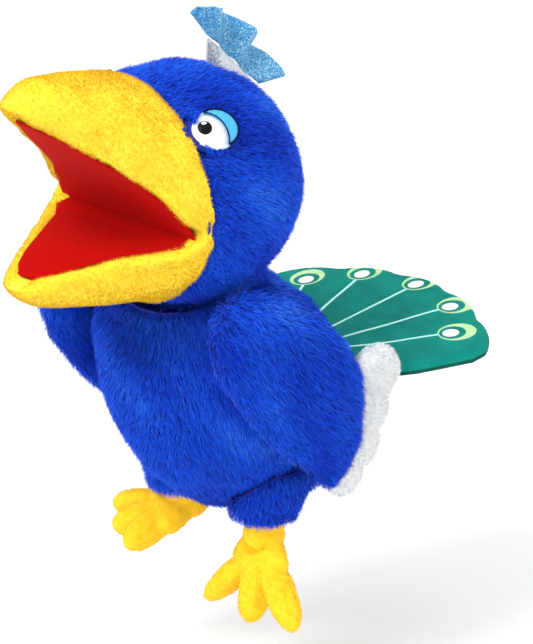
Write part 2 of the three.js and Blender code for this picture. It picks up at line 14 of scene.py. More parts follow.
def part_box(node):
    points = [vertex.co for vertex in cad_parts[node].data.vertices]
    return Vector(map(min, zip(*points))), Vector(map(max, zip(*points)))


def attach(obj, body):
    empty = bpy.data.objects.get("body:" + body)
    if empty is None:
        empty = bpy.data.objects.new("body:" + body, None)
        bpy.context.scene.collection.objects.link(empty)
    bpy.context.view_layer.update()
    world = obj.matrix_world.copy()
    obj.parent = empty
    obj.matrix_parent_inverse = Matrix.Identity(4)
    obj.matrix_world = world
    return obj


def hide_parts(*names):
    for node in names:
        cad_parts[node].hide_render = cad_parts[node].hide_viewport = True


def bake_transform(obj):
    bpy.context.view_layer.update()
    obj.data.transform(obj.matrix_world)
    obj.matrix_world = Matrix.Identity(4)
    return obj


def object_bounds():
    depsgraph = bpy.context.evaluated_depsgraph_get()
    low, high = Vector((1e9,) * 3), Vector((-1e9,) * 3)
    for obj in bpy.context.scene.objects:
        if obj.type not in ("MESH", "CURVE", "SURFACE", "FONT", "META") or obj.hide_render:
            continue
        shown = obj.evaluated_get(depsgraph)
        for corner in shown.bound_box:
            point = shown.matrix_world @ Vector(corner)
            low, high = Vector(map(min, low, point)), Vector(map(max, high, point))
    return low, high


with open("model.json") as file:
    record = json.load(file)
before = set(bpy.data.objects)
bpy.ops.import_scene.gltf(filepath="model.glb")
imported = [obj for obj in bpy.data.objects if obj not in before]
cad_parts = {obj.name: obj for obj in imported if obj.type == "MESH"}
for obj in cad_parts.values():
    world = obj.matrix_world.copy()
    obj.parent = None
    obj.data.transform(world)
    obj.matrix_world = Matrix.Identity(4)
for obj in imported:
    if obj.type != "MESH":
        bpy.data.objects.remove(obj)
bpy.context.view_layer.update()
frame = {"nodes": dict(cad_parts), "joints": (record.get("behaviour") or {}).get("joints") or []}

MM = 0.001
FOLD = Vector(next(j["pos_m"] for j in frame["joints"] if j["name"] == "mouth"))
SIDES = (("left", 1), ("right", -1))
PILE_SHARE = 1.0


def at(x, y, z):
    """A point given in millimetres from the middle of the mouth fold."""
    return FOLD + Vector((x, y, z)) * MM


def rgb(red, green, blue):
    """A display colour from 0 to 255 as a linear colour."""
    values = [v / 255 for v in (red, green, blue)]
    return [v / 12.92 if v <= 0.04045 else ((v + 0.055) / 1.055) ** 2.4 for v in values] + [1.0]


# ---- Materials ----------------------------------------------------------------------------------


def new_material(name, roughness=0.8, **sockets):
    material = bpy.data.materials.new(name)
    material.use_nodes = True
    shader = material.node_tree.nodes["Principled BSDF"]
    shader.inputs["Roughness"].default_value = roughness
    for socket, value in sockets.items():
        shader.inputs[socket.replace("_", " ")].default_value = value
    return material


def add_noise(material, scale, detail=3.0, stretch=(1, 1, 1)):
    """Noise in object space; stretch above 1 packs it closer along that axis."""
    nodes, links = material.node_tree.nodes, material.node_tree.links
    place = nodes.new("ShaderNodeTexCoord")
    mapping = nodes.new("ShaderNodeMapping")
    mapping.inputs["Scale"].default_value = stretch
    noise = nodes.new("ShaderNodeTexNoise")
    noise.inputs["Scale"].default_value = scale
    noise.inputs["Detail"].default_value = detail
    links.new(place.outputs["Object"], mapping.inputs["Vector"])
    links.new(mapping.outputs["Vector"], noise.inputs["Vector"])
    return noise.outputs["Fac"]


def add_bump(material, source, strength, depth):
    nodes, links = material.node_tree.nodes, material.node_tree.links
    bump = nodes.new("ShaderNodeBump")
    bump.inputs["Strength"].default_value = strength
    bump.inputs["Distance"].default_value = depth
    links.new(source, bump.inputs["Height"])
    links.new(bump.outputs["Normal"], nodes["Principled BSDF"].inputs["Normal"])


def add_colours(material, source, stops):
    """Colours the material by source, through (position, colour) stops."""
    nodes, links = material.node_tree.nodes, material.node_tree.links
    ramp = nodes.new("ShaderNodeValToRGB")
    while len(ramp.color_ramp.elements) < len(stops):
        ramp.color_ramp.elements.new(0.5)
    for element, (position, colour) in zip(ramp.color_ramp.elements, stops):
        element.position = position
        element.color = colour
    links.new(source, ramp.inputs["Fac"])
    links.new(ramp.outputs["Color"], nodes["Principled BSDF"].inputs["Base Color"])


def cloth(name, dark, light, scale, bump, depth, roughness=0.85, stretch=(1, 1, 1), **sockets):
    """Cloth whose colour and surface vary between two tones at the given scale."""
    material = new_material(name, roughness, **sockets)
    source = add_noise(material, scale, 5.0, stretch)
    add_colours(material, source, [(0.35, dark), (0.65, light)])
    add_bump(material, source, bump, depth)
    return material


def strand_material(name, colour, roughness=0.75, sheen=0.06):
    """One tone of pile, with a fine break-up of its gloss."""
    material = new_material(name, roughness, Base_Color=colour, Sheen_Weight=sheen, Sheen_Roughness=0.4)
    material.node_tree.nodes["Principled BSDF"].inputs["Specular IOR Level"].default_value = 0.15
    add_bump(material, add_noise(material, 1500), 0.1, 0.0002)
    return material


BLUE_BASE = cloth("blue_backing", rgb(2, 30, 140), rgb(5, 44, 170), 300, 0.6, 0.002)
# Tones of the blue pile, chosen at random per strand; each strand's root face shows one tone darker than its tip,
# painted shade at the roots (see pile).
BLUE_TONES = [
    strand_material("blue_pile_deep", rgb(3, 48, 182)),
    strand_material("blue_pile_mid", rgb(8, 68, 214)),
    strand_material("blue_pile_light", rgb(24, 92, 234)),
    strand_material("blue_pile_tip", rgb(62, 128, 248)),
]
YELLOW_BASE = cloth("yellow_backing", rgb(250, 213, 42), rgb(252, 219, 52), 60, 0.3, 0.001)
YELLOW_TONES = [
    strand_material("yellow_pile_deep", rgb(250, 214, 44)),
    strand_material("yellow_pile_mid", rgb(252, 221, 58)),
    strand_material("yellow_pile_light", rgb(254, 229, 80)),
]
FOOT_CLOTH = cloth("foot_plush", rgb(252, 196, 6), rgb(255, 212, 26), 220, 0.3, 0.0008)
FOOT_TONES = [
    strand_material("foot_pile_mid", rgb(254, 204, 14)),
    strand_material("foot_pile_light", rgb(255, 218, 46)),
]
WHITE_BASE = cloth("white_backing", rgb(228, 231, 233), rgb(244, 245, 246), 200, 0.3, 0.001)
WHITE_TONES = [
    strand_material("white_pile_mid", rgb(238, 240, 242)),
    strand_material("white_pile_light", rgb(252, 253, 253)),
]
RED_FELT = cloth("red_felt", rgb(158, 2, 0), rgb(188, 7, 3), 1400, 0.5, 0.0006, 1.0, Specular_IOR_Level=0.1)
LINING = cloth("lining_cloth", rgb(18, 30, 84), rgb(28, 46, 112), 900, 0.4, 0.0006, 0.7, (1, 1, 6))


def glitter(name, dark, light, painted_glint, flake, metallic):
    """Cloth covered in tiny flakes, each tilted and toned its own way; the lightest run to a near-white painted
    glint.
    """
    material = new_material(name, 0.32, Metallic=metallic)
    nodes, links = material.node_tree.nodes, material.node_tree.links
    cells = nodes.new("ShaderNodeTexVoronoi")
    cells.inputs["Scale"].default_value = flake
    place = nodes.new("ShaderNodeTexCoord")
    links.new(place.outputs["Object"], cells.inputs["Vector"])
    tone = nodes.new("ShaderNodeSeparateColor")
    links.new(cells.outputs["Color"], tone.inputs["Color"])
    # Flake tones run from dark to light at random; the top stop is the near-white painted glint.
    add_colours(material, tone.outputs["Red"], [(0.0, dark), (0.7, light), (1.0, painted_glint)])
    add_bump(material, tone.outputs["Green"], 0.8, 0.0012)
    return material


SILVER = glitter("silver_cloth", rgb(196, 202, 205), rgb(228, 232, 234), rgb(255, 255, 255), 1900, 0.1)
# Darker silver for the front strip of the crest fin: painted shade where the fin's front turns from the light.
SILVER_PAINTED_SHADE = glitter(
    "silver_painted_shade", rgb(120, 126, 132), rgb(176, 182, 188), rgb(235, 238, 240), 1900, 0.2
)
RIBBON = glitter("ribbon_cloth", rgb(30, 112, 176), rgb(84, 172, 218), rgb(190, 236, 248), 1800, 0.1)
EYE_WHITE = cloth("eye_white", rgb(206, 216, 222), rgb(222, 229, 233), 900, 0.15, 0.0003, 0.5)
EYE_BLACK = cloth("eye_black", rgb(1, 1, 2), rgb(5, 5, 7), 900, 0.1, 0.0002, 0.45, Specular_IOR_Level=0.15)
EYE_GLINT = cloth("eye_glint", rgb(240, 246, 250), rgb(255, 255, 255), 900, 0.05, 0.0001, 0.3)
LID_CLOTH = cloth("eyelid_cloth", rgb(40, 150, 208), rgb(74, 182, 228), 800, 0.2, 0.0004, 0.5, (1, 1, 4))
LID_EDGE = cloth(
    "eyelid_edge", rgb(2, 10, 50), rgb(4, 18, 72), 1500, 0.4, 0.0003, 0.9, Specular_IOR_Level=0.1
)

# ---- Meshes -------------------------------------------------------------------------------------


def show(name, mesh, materials):
    obj = bpy.data.objects.new(name, mesh)
    bpy.context.scene.collection.objects.link(obj)
    mesh.materials.clear()
    for material in materials:
        mesh.materials.append(material)
    return obj


def mesh_from(name, points, faces, smooth=True):
    mesh = bpy.data.meshes.new(name)
    mesh.from_pydata([tuple(p) for p in points], [], [tuple(f) for f in faces])
    mesh.validate()
    if smooth:
        mesh.polygons.foreach_set("use_smooth", [True] * len(mesh.polygons))
    return mesh


def baked(obj):
    """The object's mesh with its modifiers applied."""
    graph = bpy.context.evaluated_depsgraph_get()
    mesh = bpy.data.meshes.new_from_object(obj.evaluated_get(graph))
    obj.modifiers.clear()
    obj.data = mesh
    return obj


def coordinates(mesh):
    co = np.empty(len(mesh.vertices) * 3)
    mesh.vertices.foreach_get("co", co)
    return co.reshape(-1, 3)


def normals(mesh):
    found = np.empty(len(mesh.vertices) * 3, np.float32)
    mesh.vertex_normals.foreach_get("vector", found)
    return found.reshape(-1, 3).astype(float)


def move_points(mesh, co):
    mesh.vertices.foreach_set("co", co.ravel())
    mesh.update()


def ripple(points, size, seed):
    """Smooth noise of about -1 to 1 whose bumps are size across."""
    rng = np.random.default_rng(seed)
    total = np.zeros(len(points))
    for _ in range(7):
        direction = rng.normal(size=3)
        direction *= 2 * math.pi / size / np.linalg.norm(direction) * rng.uniform(0.6, 1.4)
        total += np.sin(points @ direction + rng.uniform(0, 2 * math.pi))
    return total / 4


def smooth_skin(
    name, nodes, materials, cell=2.2, relax=10, draw_in=0.0, lumps=0.0, lump_size=40, seed=1, plugs=()
):
    """One smooth closed skin over copies of CAD nodes, drawn in along its normals. Lengths in millimetres.
    Plugs are round posts, (from, to, radius), that close gaps between the nodes."""
    form = bmesh.new()
    for node in nodes:
        form.from_mesh(frame["nodes"][node].data)
    for start, end, radius in plugs:
        along = end - start
        place = Matrix.Translation((start + end) / 2) @ along.to_track_quat("Z", "Y").to_matrix().to_4x4()
        bmesh.ops.create_cone(
            form, cap_ends=True, segments=24, radius1=radius * MM, radius2=radius * MM,
            depth=along.length, matrix=place,
        )
    mesh = bpy.data.meshes.new(name)
    form.to_mesh(mesh)
    form.free()
    obj = show(name, mesh, materials)
    remesh = obj.modifiers.new("remesh", "REMESH")
    remesh.mode = "VOXEL"
    remesh.voxel_size = cell * MM
    remesh.use_smooth_shade = True
    smooth = obj.modifiers.new("smooth", "SMOOTH")
    smooth.factor = 0.5
    smooth.iterations = relax
    baked(obj)
    co, out = coordinates(obj.data), normals(obj.data)
    shift = lumps * ripple(co, lump_size * MM, seed) - draw_in
    co += out * (shift * MM)[:, None]
    move_points(obj.data, co)
    obj.data.materials.clear()
    for material in materials:
        obj.data.materials.append(material)
    return obj


def cover(name, nodes, *form, **more):
    """A smooth skin that stands in for its CAD nodes."""
    obj = smooth_skin(name, nodes, *form, **more)
    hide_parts(*nodes)
    return obj


def smoothstep(x):
    x = np.clip(x, 0, 1)
    return x * x * (3 - 2 * x)


def unit(vectors):
    return vectors / np.maximum(np.linalg.norm(vectors, axis=1), 1e-9)[:, None]


def surface_points(obj, density, chance, rng):
    """Seeded points on a mesh, density to the square millimetre, thinned by chance(points, normals)."""
    mesh = obj.data
    mesh.calc_loop_triangles()
    corners = np.empty(len(mesh.loop_triangles) * 3, int)
    mesh.loop_triangles.foreach_get("vertices", corners)
    corners = corners.reshape(-1, 3)
    co, out = coordinates(mesh), normals(mesh)
    a, b, c = (co[corners[:, k]] for k in range(3))
    area = np.linalg.norm(np.cross(b - a, c - a), axis=1) / 2
    picks = rng.choice(len(area), int(area.sum() * 1e6 * density * PILE_SHARE), p=area / area.sum())
    u, v = rng.random(len(picks)), rng.random(len(picks))
    u, v = np.where(u + v > 1, 1 - u, u), np.where(u + v > 1, 1 - v, v)
    shares = np.stack([1 - u - v, u, v], 1)[:, :, None]
    points = (co[corners[picks]] * shares).sum(1)
    facing = unit((out[corners[picks]] * shares).sum(1))
    kept = rng.random(len(points)) < chance(points, facing)
    return points[kept], facing[kept]


def gather_tips(points, tips, spacing, pull, rng):
    """Draws the tips of neighbouring strands together into tufts."""
    if not len(points):
        return tips
    count = max(1, int(len(points) * spacing))
    chosen = rng.choice(len(points), count, replace=False)
    tree = KDTree(count)
    for k, i in enumerate(chosen):
        tree.insert(points[i], k)
    tree.balance()
    nearest = chosen[[tree.find(p)[1] for p in points]]
    return tips + (tips[nearest] - tips) * (pull * rng.uniform(0.4, 1.0, len(points)))[:, None]


STRANDS_A_PIECE = 60000


def pile(name, base, flow, tones, density, length, width, lean, chance, seed, tuft=0.04, pull=0.28,
         shorten=None, joints=2, stray=0.2):
    """Fur or plush as separate tapering strands on base: a list of pieces. Lengths in millimetres."""
    rng = np.random.default_rng(seed)
    points, out = surface_points(base, density, chance, rng)
    count = len(points)
    along = flow(points) + stray * rng.normal(size=(count, 3))
    along = unit(along - out * (along * out).sum(1)[:, None])
    reach = length * MM * rng.uniform(0.7, 1.1, count)
    if shorten is not None:
        reach *= shorten(points)
    slant = lean + 0.12 * rng.normal(size=count) + 0.1 * ripple(points, 0.03, seed + 5)
    slant = np.clip(slant, 0.05, 0.95)[:, None]
    aim = unit(out * (1 - slant) + along * slant)
    tips = gather_tips(points, points + aim * reach[:, None], tuft, pull, rng)
    middle = points + (unit(out * (1.25 - slant) + along * slant * 0.8) * reach[:, None]) * 0.5
    across = unit(np.cross(tips - points, out) + 0.5 * rng.normal(size=(count, 3)))
    across = unit(across - unit(tips - points) * (across * unit(tips - points)).sum(1)[:, None])
    facing = np.cross(across, tips - points)
    across *= np.sign((facing * out).sum(1) + 1e-12)[:, None]
    half = across * (width * MM / 2 * rng.uniform(0.7, 1.2, count))[:, None]
    root = points - out * 0.6 * MM
    if joints == 2:
        rows = np.stack([root - half, root + half, middle - half * 0.8, middle + half * 0.8, tips], 1)
        quads = np.array([0, 1, 3, 2])
        faces = [quads, np.array([2, 3, 4])]
    else:
        rows = np.stack([root - half, root + half, tips], 1)
        faces = [np.array([0, 1, 2])]
    tone = len(tones) * (0.5 + 0.22 * ripple(points, 0.05, seed + 9) + 0.3 * (rng.random(count) - 0.5))
    tone = np.clip(tone, 0, len(tones) - 1).astype(int)
    # On two-joint strands the root quad takes the tone one step darker than the tip: painted shade down among the
    # roots and painted highlight at the tips.
    tone = np.stack([np.maximum(tone - 1, 0), tone], 1) if joints == 2 else tone[:, None]
    soft = unit(out + 0.45 * unit(facing * np.sign((facing * out).sum(1) + 1e-12)[:, None]))
    chunks = math.ceil(count / STRANDS_A_PIECE)
    pieces = []
    for k in range(chunks):
        part = slice(k * count // chunks, (k + 1) * count // chunks)
        label = f"{name}_{k + 1}" if chunks > 1 else name
        pieces.append(strand_piece(label, rows[part], faces, tone[part], soft[part], tones))
    return pieces


def strand_piece(name, rows, faces, tone, soft, tones):
    """One mesh of strands: rows of points, the faces of one strand, and the tone of each face."""
    count, per = rows.shape[:2]
    start = (np.arange(count) * per)[:, None]
    loops = np.concatenate([start + f for f in faces], 1)
    sizes = np.tile([len(f) for f in faces], count)
    mesh = bpy.data.meshes.new(name)
    mesh.vertices.add(count * per)
    mesh.vertices.foreach_set("co", rows.reshape(-1))
    mesh.loops.add(loops.size)
    mesh.loops.foreach_set("vertex_index", loops.reshape(-1))
    mesh.polygons.add(len(sizes))
    mesh.polygons.foreach_set("loop_start", np.concatenate([[0], np.cumsum(sizes)[:-1]]))
    obj = show(name, mesh, tones)
    mesh.polygons.foreach_set("material_index", tone.reshape(-1).astype(np.int32))
    mesh.polygons.foreach_set("use_smooth", np.ones(len(sizes), bool))
    mesh.update(calc_edges=True)
    mesh.normals_split_custom_set_from_vertices(np.repeat(soft, per, axis=0))
    return obj


def settle(pieces, body):
    for piece in pieces:
        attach(piece, body)


def everywhere(points, out):
    return np.ones(len(points))


def relative(points):
    """Points in millimetres from the middle of the mouth fold."""
    return (points - np.array(FOLD)) / MM


# ---- Eyes ---------------------------------------------------------------------------------------
EYE_CENTRE = (52.5, 18.5, 66)
EYE_OUT = (0.68, -0.29, 0.675)
EYE_RADII = (16.5, 14, 5.5)
PUPIL_CENTRE = (-3.9, 1.4, 4.6)
PUPIL_RADII = (4.8, 4.8, 2.1)
LID_DOME = (19.6, 16.6, 7.7)
# Ellipses on the eye, as (u, v, half-width, half-height): the lid's edges and what the fur leaves bare.
LID_OPENING = (-5.8, -6.3, 15.4, 18.2)
LID_OUTLINE = (4.4, 0.7, 13.6, 12.8)
EYE_SHOWN = (3.6, 0.2, 15.2, 12.6)


def eye_frame(side):
    """Matrix from the eye's own millimetres (u across, v up, w outward) to the row frame."""
    w = Vector((side * EYE_OUT[0], EYE_OUT[1], EYE_OUT[2])).normalized()
    v = (Vector((0, 0, 1)) - w * w.z).normalized()
    u = v.cross(w)
    centre = at(side * EYE_CENTRE[0], EYE_CENTRE[1], EYE_CENTRE[2])
    turn = Matrix((u, v, w)).transposed().to_4x4()
    return Matrix.Translation(centre) @ turn @ Matrix.Scale(MM, 4)


def eye_space(points, side):
    """Points in an eye's millimetres, with u towards the back of the head."""
    inverse = np.array(eye_frame(side).inverted())
    return (points @ inverse[:3, :3].T + inverse[:3, 3]) * np.array([side, 1, 1])


def near_eye(points):
    """How far points lie from the shown part of the nearer eye: 1 on its edge, 0 in its middle."""
    across, up, wide, tall = EYE_SHOWN
    rings = []
    for _, side in SIDES:
        local = eye_space(points, side)
        flat = np.hypot((local[:, 0] - across) / wide, (local[:, 1] - up) / tall)
        rings.append(np.where(np.abs(local[:, 2]) < 22, flat, 9.0))
    return np.minimum(*rings)


DOME_BASE = (0, 0, -0.6)


def dome(name, side, radii, centre, material, rings=18, around=48):
    """The front part of an ellipsoid on the eye, closed at its base, in the eye's millimetres."""
    form = bmesh.new()
    bmesh.ops.create_uvsphere(form, u_segments=around, v_segments=rings * 2, radius=1)
    for vert in form.verts:
        vert.co = Vector([c * r + m for c, r, m in zip(vert.co, radii, centre)])
    geometry = form.verts[:] + form.edges[:] + form.faces[:]
    made = bmesh.ops.bisect_plane(
        form, geom=geometry, plane_co=DOME_BASE, plane_no=(0, 0, 1), clear_inner=True
    )
    edges = [e for e in made["geom_cut"] if isinstance(e, bmesh.types.BMEdge)]
    bmesh.ops.holes_fill(form, edges=edges)
    mesh = bpy.data.meshes.new(name)
    form.transform(eye_frame(side))
    form.to_mesh(mesh)
    form.free()
    mesh.polygons.foreach_set("use_smooth", [True] * len(mesh.polygons))
    obj = show(name, mesh, [material])
    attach(obj, "head")
    return obj


def tube(name, points, radius, material, around=8):
    """A stitched bead of round section along points, closed at both ends."""
    count = len(points)
    verts, faces = [], []
    for i, point in enumerate(points):
        before, after = points[max(i - 1, 0)], points[min(i + 1, count - 1)]
        tangent = (Vector(after) - Vector(before)).normalized()
        side = tangent.cross(Vector((0.3, 0.2, 1))).normalized()
        up = side.cross(tangent)
        for k in range(around):
            turn = 2 * math.pi * k / around
            verts.append(Vector(point) + (side * math.cos(turn) + up * math.sin(turn)) * radius)
    for i in range(count - 1):
        j = i + 1
        for k in range(around):
            m = (k + 1) % around
            faces.append((i * around + k, i * around + m, j * around + m, j * around + k))
    faces.append(tuple(reversed(range(around))))
    faces.append(tuple(range((count - 1) * around, count * around)))
    return show(name, mesh_from(name, verts, faces), [material])


def on_lid(side, u, v, lift=0.0):
    """A point of the lid's dome over u, v, in the row frame."""
    inside = max(0.0, 1 - (u / LID_DOME[0]) ** 2 - (v / LID_DOME[1]) ** 2)
    return eye_frame(side) @ Vector((side * u, v, LID_DOME[2] * math.sqrt(inside) + lift))


def lid_reach(turn):
    """How many times as far the lid's outline lies as its opening, seen from the opening's middle."""
    open_u, open_v, open_a, open_b = LID_OPENING
    out_u, out_v, out_a, out_b = LID_OUTLINE
    across, up = open_a * math.cos(turn) / out_a, open_b * math.sin(turn) / out_b
    from_u, from_v = (open_u - out_u) / out_a, (open_v - out_v) / out_b
    a = across ** 2 + up ** 2
    b = 2 * (from_u * across + from_v * up)
    c = from_u ** 2 + from_v ** 2 - 1
    inside = b * b - 4 * a * c
    return (-b + math.sqrt(inside)) / (2 * a) if inside > 0 else 0.0


def build_lid(prefix, side):
    """The eyelid: a crescent over the top and back of the eye, with a dark line along both its edges."""
    turns = [math.radians(t) for t in range(-180, 181, 3) if lid_reach(math.radians(t)) > 1.01]
    columns = 8
    points, faces, inner, outer = [], [], [], []
    for turn in turns:
        reach = lid_reach(turn)
        for k in range(columns + 2):
            r = 1 + (reach - 1) * min(k, columns) / columns
            u = LID_OPENING[0] + r * LID_OPENING[2] * math.cos(turn)
            v = LID_OPENING[1] + r * LID_OPENING[3] * math.sin(turn)
            skirt = k > columns
            points.append(on_lid(side, u, v, -4.0 if skirt else 0.0))
            if k == 0:
                inner.append(on_lid(side, u, v, 0.15))
            if k == columns:
                outer.append(on_lid(side, u, v, 0.15))
    for i in range(len(turns) - 1):
        for k in range(columns + 1):
            a = i * (columns + 2) + k
            quad = (a, a + 1, a + columns + 3, a + columns + 2)
            faces.append(quad if side > 0 else tuple(reversed(quad)))
    lid = show(f"{prefix}_eye_lid", mesh_from(f"{prefix}_eye_lid", points, faces), [LID_CLOTH])
    thick = lid.modifiers.new("thickness", "SOLIDIFY")
    thick.thickness = 1.1 * MM
    thick.offset = -1
    baked(lid)
    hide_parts(f"{prefix}_eyelid")
    lid_edge = tube(f"{prefix}_lid_edge", inner, 0.45 * MM, LID_EDGE)
    lid_rim = tube(f"{prefix}_lid_rim", outer, 0.8 * MM, LID_EDGE)
    for piece in (lid, lid_edge, lid_rim):
        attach(piece, "head")


def build_eye(prefix, side):
    white = dome(f"{prefix}_eye_ball", side, EYE_RADII, (0, 0, 0), EYE_WHITE)
    white.data.materials.append(BLUE_BASE)
    centres = np.array([tuple(p.center) for p in white.data.polygons])
    white.data.polygons.foreach_set("material_index", (near_eye(centres) > 1.06).astype(np.int32))
    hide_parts(f"{prefix}_eye_white")
    centre = (side * PUPIL_CENTRE[0], PUPIL_CENTRE[1], PUPIL_CENTRE[2])
    pupil = dome(f"{prefix}_eye_pupil", side, PUPIL_RADII, centre, EYE_BLACK)
    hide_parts(f"{prefix}_pupil")
    spot = (centre[0] - side * 0.5, centre[1] + 2.6, centre[2] + 1.55)
    glint = dome(f"{prefix}_eye_glint", side, (1.8, 1.2, 0.6), spot, EYE_GLINT, rings=6, around=20)
    build_lid(prefix, side)

    def over_white(points, out):
        local = eye_space(points, side)
        below_lid = (local[:, 1] < 9) | (local[:, 0] < -6)
        clear_of_beak = relative(points)[:, 1] > FUR_START_Y + 2
        return ((near_eye(points) > 1) & below_lid & clear_of_beak & (local[:, 2] > 0.3)).astype(float)

    name = f"{prefix}_eye_fringe"
    fringe = pile(name, white, toward_back, BLUE_TONES, 4.0, 5.5, 0.42, 0.7, over_white, 61)
    settle(fringe, "head")


# ---- Head ---------------------------------------------------------------------------------------
def toward_back(points):
    """The head's pile lies away from the beak and then down."""
    local = relative(points)
    lie = np.stack([local[:, 0] * 0.35, local[:, 1] + 60, local[:, 2] * 0.5 - 40], 1)
    lie = unit(lie) + np.array([0, 0, -0.5])
    for _, side in SIDES:
        eye = eye_space(points, side)
        strength = np.clip(1.7 - np.hypot(eye[:, 0] / 16.5, eye[:, 1] / 14), 0, 1)
        strength *= np.abs(eye[:, 2]) < 22
        strength *= smoothstep(eye[:, 0] / 16 + 0.5)
        away = (points - np.array(eye_frame(side).translation)) / MM / 14
        lie += away * strength[:, None] * 1.6
    return lie


HEAD_CENTRE = (0, 41, 14.5)
FUR_START_Y = 6.5
HEAD_FORWARD = 4.5


def build_head():
    head = cover("head_cover", ["head_skin", "head_filling"], [BLUE_BASE], 2.4, 8, 3.6, 0.8, 45, 3)
    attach(head, "head")
    centre = np.array(HEAD_CENTRE)
    co = coordinates(head.data)
    front = smoothstep((13 - relative(co)[:, 1]) / 8)
    co -= unit(relative(co) - centre) * (1.5 * MM * front)[:, None]
    co[:, 1] -= HEAD_FORWARD * MM * front
    move_points(head.data, co)

    def chance(points, out):
        local = relative(points)
        outward = ((local - centre) * out).sum(1) > 45
        start = FUR_START_Y - 1.6 * smoothstep((np.abs(local[:, 2]) - 12) / 40)
        return (outward & (local[:, 1] > start) & (near_eye(points) > 1)).astype(float)

    def shorten(points):
        seam = np.clip((relative(points)[:, 1] - FUR_START_Y) / 14, 0, 1)
        eye = np.clip((near_eye(points) - 1) / 0.6, 0, 1)
        return (0.55 + 0.45 * seam) * (0.4 + 0.6 * eye)

    fur = pile("head_fur", head, toward_back, BLUE_TONES, 2.0, 8.5, 0.43, 0.66, chance, 11, shorten=shorten)
    settle(fur, "head")


# ---- Body ---------------------------------------------------------------------------------------
def downward(points):
    local = relative(points)
    swirl = 0.25 * ripple(points, 0.09, 31)
    return np.stack([local[:, 0] * 0.004 + swirl, 0.15 + 0 * swirl, -1 + 0 * swirl], 1)


COLLAR_INSIDE = 79
NECK_AXIS = (0, 44)
HEM_CENTRE = (0, 128, -178)
COLLAR_REACH = 34
HEM_REACH = (55, 40)
HEM_FILL = 3.0


def build_body():
    body = cover("body_cover", ["body_skin", "body_filling"], [BLUE_BASE], 2.6, 8, 3.6, 1.6, 55, 5)
    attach(body, "torso")
    co = coordinates(body.data)
    from_hem = np.linalg.norm(relative(co) - np.array(HEM_CENTRE), axis=1)
    at_hem = 1 - smoothstep((from_hem - HEM_REACH[0]) / HEM_REACH[1])
    co += normals(body.data) * (HEM_FILL * MM * at_hem)[:, None]
    spoke = relative(co) - np.array(HEAD_CENTRE)
    from_head = np.linalg.norm(spoke, axis=1)
    share = smoothstep((from_head - COLLAR_INSIDE) / COLLAR_REACH)
    push = np.maximum(from_head - COLLAR_INSIDE, 0) * (1 - share) * MM
    co -= unit(spoke) * push[:, None]
    move_points(body.data, co)

    def chance(points, out):
        local = relative(points)
        back = 62 + (-28 - local[:, 2]) * 0.24
        middle = np.stack([0 * local[:, 0], back, np.clip(local[:, 2], -165, -80)], 1)
        return (((local - middle) * out).sum(1) > 28).astype(float)

    fur = pile("body_fur", body, downward, BLUE_TONES, 2.0, 9.0, 0.43, 0.68, chance, 12)
    settle(fur, "torso")
    neck = frame["nodes"]["neck_lining"]

    def neck_outside(points, out):
        return ((relative(points)[:, :2] - NECK_AXIS) * out[:, :2]).sum(1) > 5

    ruff = pile("neck_fur", neck, downward, BLUE_TONES, 2.0, 8.0, 0.43, 0.5, neck_outside, 16)
    settle(ruff, "neck")
    for prefix, _ in SIDES:
        thigh = cover(f"{prefix}_thigh_cover", [f"{prefix}_thigh"], [BLUE_BASE], 1.8, 5, 1.5)
        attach(thigh, "torso")
        tuft = pile(f"{prefix}_thigh_fur", thigh, downward, BLUE_TONES, 2.0, 8.5, 0.44, 0.7, everywhere, 14)
        settle(tuft, "torso")
    hem = cover("hem_cover", ["sleeve_hem"], [BLUE_BASE], 1.8, 4, 0.8)
    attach(hem, "torso")

    def hem_outside(points, out):
        local = relative(points)
        spoke = np.stack([local[:, 0], (local[:, 1] - 128) * 0.63, (local[:, 2] + 178) * 0.77], 1)
        return ((spoke * out).sum(1) > 8).astype(float)

    fringe = pile("hem_fur", hem, downward, BLUE_TONES, 2.0, 6.5, 0.44, 0.6, hem_outside, 15)
    settle(fringe, "torso")


# ---- Wings --------------------------------------------------------------------------------------
def wing_lie(points):
    local = relative(points)
    swirl = 0.3 * ripple(points, 0.06, 41)
    drop = np.clip((-60 - local[:, 2]) / 60, 0, 1)
    return np.stack([0.1 * np.sign(local[:, 0]), 0.35 + 0.45 * drop + swirl, -1 + 0.2 * drop], 1)


def build_wing(prefix, side):
    nodes = [f"{prefix}_wing_skin", f"{prefix}_wing_filling"]
    wing = cover(f"{prefix}_wing_cover", nodes, [BLUE_BASE], 2.0, 8, 2.6, 1.2, 34, 20 + side)
    fur = pile(f"{prefix}_wing_fur", wing, wing_lie, BLUE_TONES, 2.0, 9.0, 0.43, 0.66, everywhere, 21 + side)
    trim = cover(f"{prefix}_trim_cover", [f"{prefix}_wing_trim"], [WHITE_BASE], 1.6, 7, -0.4)

    def backward(points):
        return np.stack([0 * points[:, 0], 0.8 + 0 * points[:, 0], -0.5 + 0 * points[:, 0]], 1)

    edge = pile(
        f"{prefix}_trim_pile", trim, backward, WHITE_TONES, 2.0, 3.2, 0.42, 0.45, everywhere, 24 + side
    )
    for pieces, slot in (([wing, *fur], "blue_plush"), ([trim, *edge], "white_plush")):
        for piece in pieces:
            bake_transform(piece)


# ---- Beak ---------------------------------------------------------------------------------------
SEAM_Y = 3
UPPER_LINE = [(0, 0), (-5.5, 11), (-18, 27.5), (-32.6, 41.4), (-50.5, 55.6), (-69, 70), (-93, 86)]
LOWER_LINE = [(0, 0), (-12.7, -4.2), (-47.5, -7.2), (-68.7, -11), (-90, -17)]
UPPER_WIDTHS = [(0, 54.5), (-5, 53), (-32.6, 43.5), (-50.5, 34.5), (-69, 22.5), (-84, 10), (-91, 4)]
LOWER_WIDTHS = [(0, 54.5), (-12.7, 50), (-47.5, 31), (-68.7, 21), (-80.6, 14), (-88, 6)]


def read_curve(curve, where):
    """Value of a curve of (y, value) pairs at the given y, with y falling."""
    ys = [-y for y, _ in curve]
    return np.interp(-np.asarray(where, float), ys, [v for _, v in curve])


